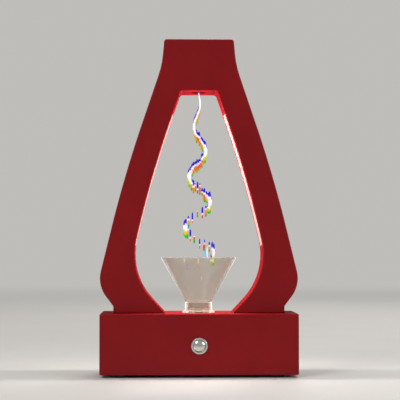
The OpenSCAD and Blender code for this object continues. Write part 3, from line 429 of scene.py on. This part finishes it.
def shell(node, face_y):
    """A frame shell whose outer edges are rounded and whose seam edges are broken."""
    on_skin = skin_test(node, face_y)
    rules = [
        (lambda co: abs(co.y - face_y) < NEAR, 0.0012, 3),
        (lambda co: abs(co.y) < NEAR and on_skin(co), 0.00025, 1),
    ]
    return eased_copy(node, rules)


def beside_opening(z):
    """Half width, in metres, of the line between the opening and the outside."""
    foot, bend, eave = RIB_LINE
    low, high = (foot, bend) if z < bend[0] else (bend, eave)
    return low[1] + (z - low[0]) * (high[1] - low[1]) / (high[0] - low[0])


def in_opening(middle, normal):
    """Tests whether a face is part of the opening's walls or ceiling."""
    below_head = middle.z < OPENING_TOP + 0.0004
    return abs(normal.y) < 0.8 and below_head and abs(middle.x) < beside_opening(middle.z)


for side, node, face_y in (("front", "frame_front", -FRAME_FACE), ("rear", "frame_rear", FRAME_FACE)):
    made = piece(side + "_shell", shell(node, face_y), "red_shell", "stand", [node])
    matte_where(made.data, in_opening)


# Base housing with eased edges

# Beyond these distances from the middle, in metres, only the base's outer walls are left
RIM_X = 0.1019
RIM_Y = 0.0349


def on_rim(co):
    """Tests whether a point lies on the base's outer walls."""
    return abs(co.x) > RIM_X or abs(co.y) > RIM_Y


def on_base_top(middle, normal):
    """Tests whether a face is part of the base's top."""
    return normal.z > 0.9 and middle.z > BASE_TOP - 0.0005


base_rules = [
    (lambda co: abs(co.z - BASE_TOP) < NEAR and on_rim(co), 0.0014, 3),
    (lambda co: abs(co.z - BASE_UNDERSIDE) < NEAR and on_rim(co), 0.0006, 2),
]
made = piece("base_case", eased_copy("base_housing", base_rules), "red_base", "stand", ["base_housing"])
matte_where(made.data, on_base_top)


# Clear funnel and collar, turned about the upright axis
def filleted(corners, steps=5):
    """A closed profile whose (radius, height, rounding) corners are rounded, in millimetres."""
    points = []
    count = len(corners)
    for index, (x, y, rounding) in enumerate(corners):
        here = Vector((x, y))
        if rounding == 0:
            points.append(here)
            continue
        before = (Vector(corners[index - 1][:2]) - here).normalized()
        after = (Vector(corners[(index + 1) % count][:2]) - here).normalized()
        half = before.angle(after) / 2.0
        middle = here + (before + after).normalized() * rounding / math.sin(half)
        start = here + before * rounding / math.tan(half) - middle
        end = here + after * rounding / math.tan(half) - middle
        first = math.atan2(start.y, start.x)
        turn = math.remainder(math.atan2(end.y, end.x) - first, 2.0 * math.pi)
        for step in range(steps + 1):
            angle = first + turn * step / steps
            points.append(middle + rounding * Vector((math.cos(angle), math.sin(angle))))
    return points


def turned(name, corners, axis, steps=128):
    """A closed profile of (radius, height, rounding) turned about the X or Z axis, in millimetres."""
    bm = bmesh.new()
    rows = []
    profile = filleted(corners)
    for step in range(steps):
        turn = 2.0 * math.pi * step / steps
        row = []
        for radius, height in profile:
            first = radius * math.cos(turn)
            second = radius * math.sin(turn)
            spot = (first, second, height) if axis == "Z" else (height, first, second)
            row.append(bm.verts.new(Vector(spot) * MM))
        rows.append(row)
    count = len(profile)
    for step in range(steps):
        near = rows[step]
        far = rows[(step + 1) % steps]
        for index in range(count):
            after = (index + 1) % count
            bm.faces.new((near[index], far[index], far[after], near[after]))
    return finished(bm, name)


FUNNEL = [(3.5, 52.3, 0.4), (5.0, 52.3, 0.4), (5.0, 68.9, 0), (12.2, 68.9, 0.5), (12.2, 78.3, 0),
          (14.5, 78.3, 0.5), (41.0, 126.3, 0.8), (38.944, 126.3, 0.7), (13.438, 80.1, 0.6),
          (10.4, 80.1, 0.6), (10.4, 70.7, 0.8), (3.5, 70.7, 0.5)]
COLLAR = [(5.3, 60.0, 0), (11.0, 60.0, 0.4), (11.0, 67.0, 0), (17.3, 67.0, 0.3), (17.3, 68.6, 0.6),
          (14.5, 68.6, 0.9), (14.5, 78.0, 0.5), (12.5, 78.0, 0.4), (12.5, 68.6, 0), (5.3, 68.6, 0)]
funnel = piece("clear_funnel", turned("clear_funnel", FUNNEL, "Z"), "clear", "funnel", ["funnel"])
collar = piece("clear_collar", turned("clear_collar", COLLAR, "Z"), "clear", "stand", ["funnel_collar"],
               look="clear_collar")
# Clear acrylic lets the light through to the walls behind it
funnel.visible_shadow = False
collar.visible_shadow = False


# Water stream, in millimetres and degrees

# The wave that the water falls in: its top below the nozzle, the length and the start of a wave, the
# fall in which it widens quickly, its width against the nozzle's swing, and that swing
JET_TOP = 305.7
JET_WAVE = 55.5
JET_PHASE = 31.0
JET_FLARE = 40.0
JET_SPREAD = 1.83
SWING = 5.0
JET_REACH = 2.0 * JET_FLARE * JET_SPREAD * math.tan(math.radians(SWING))

# Falls of the first drop, of the end of the close string of drops, of the end of the loosest part,
# of the last drop, and of the whole stream
FIRST_DROP = 1.2
CLOSE_END = 114.0
LOOSE_END = 148.0
LAST_DROP = 184.0
JET_FALL = 188.0

# A drop's mesh: rings along it, sides around it and how blunt its ends are
DROP_RINGS = 14
DROP_SIDES = 10
DROP_BLUNTNESS = 0.6

# One drop: its middle, half width and half length in millimetres, then its place in the wave.
# Turn is 1 where the wave turns back and 0 on its slopes. Lime is the green of the painted flash
# light in the lower half, and tint moves these painted colours up or down.
Drop = namedtuple("Drop", "x y z width length turn lime tint")


def jet_point(fall):
    """Middle of the stream at a fall below the nozzle, as (x, z) in millimetres, and its phase."""
    phase = math.radians(360.0 * fall / JET_WAVE + JET_PHASE)
    reach = JET_REACH * (math.sqrt(1.0 + fall / JET_FLARE) - 1.0)
    return reach * math.sin(phase), JET_TOP - fall, phase


def ramped(value, low, high):
    """0 at low, 1 at high and smooth between."""
    share = min(1.0, max(0.0, (value - low) / (high - low)))
    return share * share * (3.0 - 2.0 * share)


def stream_drops():
    """The drops from the nozzle down: a close string at first, loose on the wave's last slopes.

    The sines of count change from drop to drop, so that no two drops are quite alike.
    """
    drops = []
    fall = FIRST_DROP
    count = 0
    while fall < LAST_DROP:
        x, z, phase = jet_point(fall)
        share = fall / JET_FALL
        turn = math.sin(phase) ** 2
        slope = (1.0 - turn) * ramped(share, 0.35, 0.75)
        rough = (1.0 - 0.5 * turn) * ramped(share, 0.03, 0.25)
        # How much thinner and further apart the drops are on a slope
        if fall < CLOSE_END:
            thinner = 0.1
            apart = -0.1
        elif fall < LOOSE_END:
            thinner = 0.35
            apart = 1.5
        else:
            thinner = 0.35
            apart = 0.9
        width = 0.8 + 0.35 * min(1.0, fall / 40.0) + 0.7 * turn * ramped(fall, 20.0, 90.0)
        width -= thinner * slope
        width += 0.2 * math.sin(count * 1.9) * slope
        width *= 1.0 - 0.4 * ramped(share, 0.86, 0.93)
        z += 1.1 * math.sin(count * 5.3) * (rough + slope)
        length = min(0.8 * fall, 5.6) + 3.2 * share + 1.2 * math.sin(count * 2.4) * share
        length *= 1.0 - 0.38 * slope + 0.2 * math.sin(count * 4.1) * rough
        lime = 0.07 + 0.72 * turn + 0.1 * math.sin(count * 2.1) * (1.0 - turn)
        depth = 0.6 * math.sin(count * 1.7) * share
        tint = 0.8 * math.sin(count * 2.7) * slope
        drops.append(Drop(x, depth, z, width, length, turn, lime, tint))
        fall += 1.2 + 1.3 * share + 0.3 * math.sin(count * 3.1) * share + apart * slope
        count += 1
    return drops


def painted_flash_light(x, z, drops):
    """Painted light of the flashes on the stream where they overlap: blue above, white, then yellow, green
    or orange.
    """
    red = green = blue = 0.0
    for drop in drops:
        if abs(x - drop.x) > drop.width:
            continue
        above = (z - drop.z) / drop.length
        if abs(above) > 1.02:
            continue
        above += drop.tint
        blue = max(blue, ramped(above, 0.0, 0.15))
        upper = 1.0 - ramped(above, 0.22, 0.4)
        red = max(red, upper * ramped(above, -0.9 + 0.35 * drop.turn, -0.65 + 0.35 * drop.turn))
        low = max(0.05, drop.lime, 0.5 * ramped(-above, 0.6, 0.8))
        green = max(green, upper * max(low, ramped(above, 0.0, 0.15)))
    white = blue * max(red, green)
    strength = 0.75 + 0.35 * white
    return 0.01 + strength * red, 0.01 + strength * green, 0.02 + blue * (0.58 + 0.52 * white)


def add_drop(bm, x, y, z, width, length):
    """Adds one drop to a mesh and gives back its faces."""
    top = bm.verts.new((x * MM, y * MM, (z + length) * MM))
    bottom = bm.verts.new((x * MM, y * MM, (z - length) * MM))
    loops = []
    for ring in range(1, DROP_RINGS):
        angle = math.pi * ring / DROP_RINGS
        radius = width * math.sin(angle) ** DROP_BLUNTNESS
        height = z + length * math.cos(angle)
        row = []
        for side in range(DROP_SIDES):
            turn = 2.0 * math.pi * side / DROP_SIDES
            row.append(bm.verts.new(((x + radius * math.cos(turn)) * MM,
                                     (y + radius * math.sin(turn)) * MM, height * MM)))
        loops.append(row)
    faces = []
    for side in range(DROP_SIDES):
        after = (side + 1) % DROP_SIDES
        faces.append(bm.faces.new((top, loops[0][side], loops[0][after])))
        faces.append(bm.faces.new((bottom, loops[-1][after], loops[-1][side])))
        for above, below in zip(loops, loops[1:]):
            faces.append(bm.faces.new((above[side], below[side], below[after], above[after])))
    return faces


# Stray streaks at the rim, then splashes in the bowl:
# (x, y, z, half width, half length) in millimetres and the colour of their painted flash light
SPLASHES = [
    ((5.6, 0.6, 136.8, 0.7, 3.4), (0.42, 0.05, 0.40)),
    ((7.2, -0.4, 129.6, 0.9, 4.6), (0.12, 0.62, 0.80)),
    ((9.4, 0.5, 131.5, 0.8, 6.0), (0.80, 0.86, 1.05)),
    ((15.9, -0.5, 128.0, 0.8, 7.5), (0.98, 0.92, 0.40)),
    ((-15.2, 4.0, 123.4, 0.8, 2.2), (0.80, 0.76, 0.55)),
    ((-0.2, 3.0, 122.6, 0.7, 3.2), (0.72, 0.68, 0.50)),
    ((-0.9, 3.0, 116.6, 0.8, 3.0), (0.62, 0.30, 0.10)),
    ((-11.8, 2.0, 116.5, 0.7, 3.4), (0.36, 0.24, 0.52)),
    ((3.4, 0.0, 104.0, 0.5, 2.2), (0.70, 0.66, 0.60)),
]


def water_stream():
    """The drops and splashes as one mesh, with the flashes' light painted into their colours."""
    drops = stream_drops()
    bm = bmesh.new()
    layer = bm.loops.layers.float_color.new("flash")
    for drop in drops:
        for face in add_drop(bm, drop.x, drop.y, drop.z, drop.width, drop.length):
            for corner in face.loops:
                co = corner.vert.co
                corner[layer] = (*painted_flash_light(co.x / MM, co.z / MM, drops), 1.0)
    for shape, colour in SPLASHES:
        for face in add_drop(bm, *shape):
            for corner in face.loops:
                corner[layer] = (*colour, 1.0)
    bmesh.ops.recalc_face_normals(bm, faces=bm.faces)
    mesh = bpy.data.meshes.new("water_stream")
    bm.to_mesh(mesh)
    bm.free()
    mesh.shade_smooth()
    return mesh


# The stream leaves from the swinging nozzle and falls free below it
made = piece("water_stream", water_stream(), "water", None, ["water_jet"])
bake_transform(made)


# Short hose from the nozzle to the coupler, built straight, in millimetres

# Its height, ends and radii, and where along it the rings lie between which it bends
HOSE_Z = 327.0
HOSE_START = 5.4
HOSE_END = 14.7
HOSE_RADIUS = 3.0
HOSE_BORE = 2.15
HOSE_BENDS = [9.4 + 0.3 * step for step in range(9)]


def nozzle_hose():
    """A straight tube along X from the nozzle's barb to the coupler, with rings along the stretch meant to
    bend.
    """
    outside = [(HOSE_RADIUS, x, 0) for x in HOSE_BENDS]
    bore = [(HOSE_BORE, x, 0) for x in reversed(HOSE_BENDS)]
    corners = [(HOSE_RADIUS, HOSE_START, 0.3), *outside, (HOSE_RADIUS, HOSE_END, 0.3),
               (HOSE_BORE, HOSE_END, 0.2), *bore, (HOSE_BORE, HOSE_START, 0.2)]
    mesh = turned("flexible_hose", corners, "X", 48)
    for vertex in mesh.vertices:
        vertex.co.z += HOSE_Z * MM
    return mesh


made = piece("flexible_hose", nozzle_hose(), "hose", None, ["nozzle_hose"])
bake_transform(made)


# Coil spring behind the button's cap, in millimetres
SPRING_FRONT = -33.9
SPRING_BACK = -24.0


def coil():
    """A wire coil along Y whose end turns are closed."""
    wire = 0.42
    radius = 4.0
    turns = 7.0
    steps = 210
    sides = 10
    low = SPRING_FRONT + wire
    high = SPRING_BACK - wire
    closed = 2.06 * wire
    pitch = (high - low - 2.0 * closed) / (turns - 2.0)
    bm = bmesh.new()
    rows = []
    for step in range(steps + 1):
        turn = turns * step / steps
        first = min(turn, 1.0)
        last = max(turn - turns + 1.0, 0.0)
        along = low + closed * (first + last) + pitch * (turn - first - last)
        angle = 2.0 * math.pi * turn
        outward = Vector((math.cos(angle), 0.0, math.sin(angle)))
        middle = outward * radius + Vector((0.0, along, BUTTON_Z))
        row = []
        for side in range(sides):
            around = 2.0 * math.pi * side / sides
            spot = middle + outward * wire * math.cos(around) + Vector((0.0, wire * math.sin(around), 0.0))
            row.append(bm.verts.new(spot * MM))
        rows.append(row)
    for near, far in zip(rows, rows[1:]):
        for side in range(sides):
            after = (side + 1) % sides
            bm.faces.new((near[side], far[side], far[after], near[after]))
    bm.faces.new(rows[0])
    bm.faces.new(list(reversed(rows[-1])))
    return finished(bm, "coil_spring")


made = piece("coil_spring", coil(), "steel", "stand", ["button_spring"])
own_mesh(made)


# Materials of the CAD nodes that stay in view
SLOTS = {
    "black_plastic": ["base_plate", "dc_jack", "pump_body", "pump_cover", "button_terminals"],
    "rubber": ["feet", "collar_gasket", "tank_gasket", "lid_grommet", "pump_cups", "pivot_bush"],
    "steel": ["base_screws", "frame_screws", "leg_screws", "bracket_screws", "pivot_pin", "pivot_clip",
              "pump_shaft", "board_screws", "jack_nut", "button_nut"],
    "diffuser": ["left_diffuser", "right_diffuser"],
    "led_board": ["left_led_board", "right_led_board"],
    "led_chip": ["left_leds", "right_leds"],
    "white_plastic": ["collar_nut", "pump_impeller", "coil_bobbin", "hose_coupler"],
    "zinc_plate": ["head_bracket"],
    "arm_plastic": ["swing_arm"],
    "brass": ["nozzle"],
    "magnet": ["arm_magnet"],
    "iron": ["coil_core"],
    "copper": ["coil_winding"],
    "hose": ["riser_hose"],
    "tank": ["water_tank", "tank_lid"],
    "green_board": ["control_board"],
    "components": ["board_components"],
    "button_metal": ["button_body", "button_cap"],
    "lead": ["left_led_lead", "right_led_lead", "coil_lead", "pump_lead", "button_lead", "jack_lead"],
}
for slot, names in SLOTS.items():
    for name in names:
        for place in nodes[name].material_slots:
            place.material = materials[slot]


# Floor and world

# Colour of the background, the floor's finish and radius in metres, and the distances from the object
# between which the floor fades into the background
PALE = (0.52, 0.51, 0.49)
FLOOR_FINISH = Finish((0.62, 0.61, 0.59), 0.02, 3.0, (0.6, 0.7), 300.0, 0.00005)
FLOOR_RADIUS = 14.0
FLOOR_FADE = (0.5, 4.0)


def seen_by_eye(tree):
    """1 for rays that the eye follows: straight, mirrored or through glass."""
    path = tree.nodes.new("ShaderNodeLightPath")
    seen = worked_out(tree, "MAXIMUM", path.outputs["Is Camera Ray"], path.outputs["Is Glossy Ray"])
    return worked_out(tree, "MAXIMUM", seen, path.outputs["Is Transmission Ray"])


def floor_material():
    """Pale floor that fades into the background far from the object."""
    material = moulded("floor", FLOOR_FINISH)
    tree = material.node_tree
    far = tree.nodes.new("ShaderNodeVectorMath")
    far.operation = "LENGTH"
    tree.links.new(object_coords(tree), far.inputs[0])
    fade = mapped(tree, far.outputs["Value"], FLOOR_FADE, (0.0, 1.0), smooth=True)
    share = worked_out(tree, "MULTIPLY", fade, seen_by_eye(tree))
    distance = tree.nodes.new("ShaderNodeEmission")
    distance.inputs["Color"].default_value = (*PALE, 1.0)
    mix = tree.nodes.new("ShaderNodeMixShader")
    tree.links.new(share, mix.inputs["Fac"])
    tree.links.new(tree.nodes["Principled BSDF"].outputs["BSDF"], mix.inputs[1])
    tree.links.new(distance.outputs["Emission"], mix.inputs[2])
    tree.links.new(mix.outputs["Shader"], tree.nodes["Material Output"].inputs["Surface"])
    return material


def floor():
    """A round floor under the object."""
    bm = bmesh.new()
    bmesh.ops.create_circle(bm, cap_ends=True, segments=96, radius=FLOOR_RADIUS)
    mesh = bpy.data.meshes.new("floor")
    bm.to_mesh(mesh)
    bm.free()
    obj = bpy.data.objects.new("floor", mesh)
    scene.collection.objects.link(obj)
    mesh.materials.append(floor_material())


def studio_world():
    """Soft light from all around, with a plain background behind the object."""
    world = bpy.data.worlds.new("studio")
    scene.world = world
    world.use_nodes = True
    tree = world.node_tree
    tree.nodes.clear()
    light = tree.nodes.new("ShaderNodeBackground")
    light.inputs["Color"].default_value = (1.0, 0.99, 0.97, 1.0)
    light.inputs["Strength"].default_value = 0.42
    shown = tree.nodes.new("ShaderNodeBackground")
    shown.inputs["Color"].default_value = (*PALE, 1.0)
    shown.inputs["Strength"].default_value = 1.0
    mix = tree.nodes.new("ShaderNodeMixShader")
    output = tree.nodes.new("ShaderNodeOutputWorld")
    tree.links.new(seen_by_eye(tree), mix.inputs["Fac"])
    tree.links.new(light.outputs["Background"], mix.inputs[1])
    tree.links.new(shown.outputs["Background"], mix.inputs[2])
    tree.links.new(mix.outputs["Shader"], output.inputs["Surface"])


# Lamps, in metres and watts

# Each strip's lower and upper end, as (distance from the middle, height), and its lit width and length
STRIP_LOW = (0.0640, 0.141)
STRIP_HIGH = (0.0240, 0.279)
STRIP_SIZE = (0.026, 0.138)

# Colours of the studio's light and of the strips, and the point that the studio's lamps look at
STUDIO_WHITE = (1.0, 0.98, 0.95)
STRIP_WHITE = (1.0, 0.94, 0.91)
LAMPS_TARGET = (0.0, 0.0, 0.18)


def area_lamp(name, place, target, size, power, colour):
    """A rectangular lamp that looks at a point."""
    data = bpy.data.lights.new(name, "AREA")
    data.shape = "RECTANGLE"
    data.size = size[0]
    data.size_y = size[1]
    data.energy = power
    data.color = colour
    return placed(bpy.data.objects.new(name, data), place, target)


def strip_glow(name, side):
    """The light that a strip sheds on the opening's walls."""
    low = Vector((side * STRIP_LOW[0], 0.0, STRIP_LOW[1]))
    high = Vector((side * STRIP_HIGH[0], 0.0, STRIP_HIGH[1]))
    middle = (low + high) / 2.0
    upward = (high - low).normalized()
    inward = Vector((-side * upward.z, 0.0, side * upward.x))
    lamp = area_lamp(name, middle, middle + inward, STRIP_SIZE, 0.6, STRIP_WHITE)
    lamp.data.spread = math.radians(176.0)
    lamp.visible_camera = False
    lamp.visible_glossy = False
    lamp.visible_transmission = False


floor()
studio_world()
strip_glow("left_glow", -1.0)
strip_glow("right_glow", 1.0)
area_lamp("key_light", (-1.3, -1.5, 1.7), LAMPS_TARGET, (0.9, 0.9), 26.0, STUDIO_WHITE)
area_lamp("fill_light", (1.6, -1.1, 0.9), LAMPS_TARGET, (1.0, 1.0), 10.0, STUDIO_WHITE)
area_lamp("back_light", (0.5, 1.7, 1.5), LAMPS_TARGET, (1.0, 1.0), 14.0, STUDIO_WHITE)
